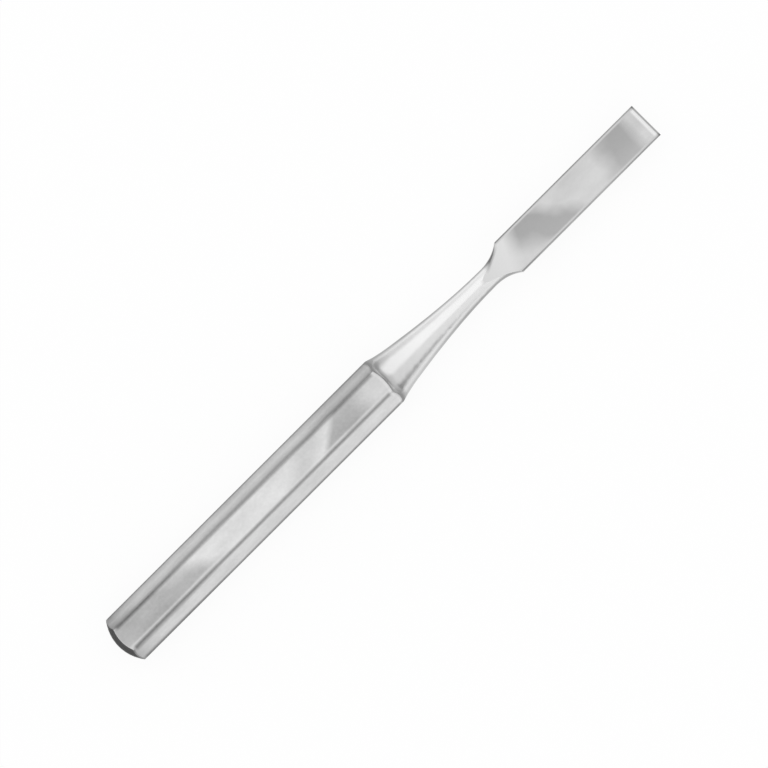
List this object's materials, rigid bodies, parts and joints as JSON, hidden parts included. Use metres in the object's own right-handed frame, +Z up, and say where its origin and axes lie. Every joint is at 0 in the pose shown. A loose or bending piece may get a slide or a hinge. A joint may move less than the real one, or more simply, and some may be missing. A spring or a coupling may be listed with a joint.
{
  "type": "osteotome",
  "caption": "Straight bone osteotome in one piece of satin stainless steel: hexagonal handle with a crowned striking end, slim tapering neck and a straight blade with a double-bevelled edge.",
  "frame": {"origin": "bottom centre of the bounding box, on the surface that the tool lies on, midway along its length", "axes": "+X along the tool from the striking end to the cutting edge, +Y across the blade, +Z up from the handle flat that it lies on"},
  "size_m": [0.24, 0.0178, 0.0157],
  "materials": {
    "steel": "satin ground stainless steel, a little brighter on the polished neck and the honed edge"
  },
  "bodies": {
    "root": {"osteotome": "steel"}
  },
  "joints": []
}
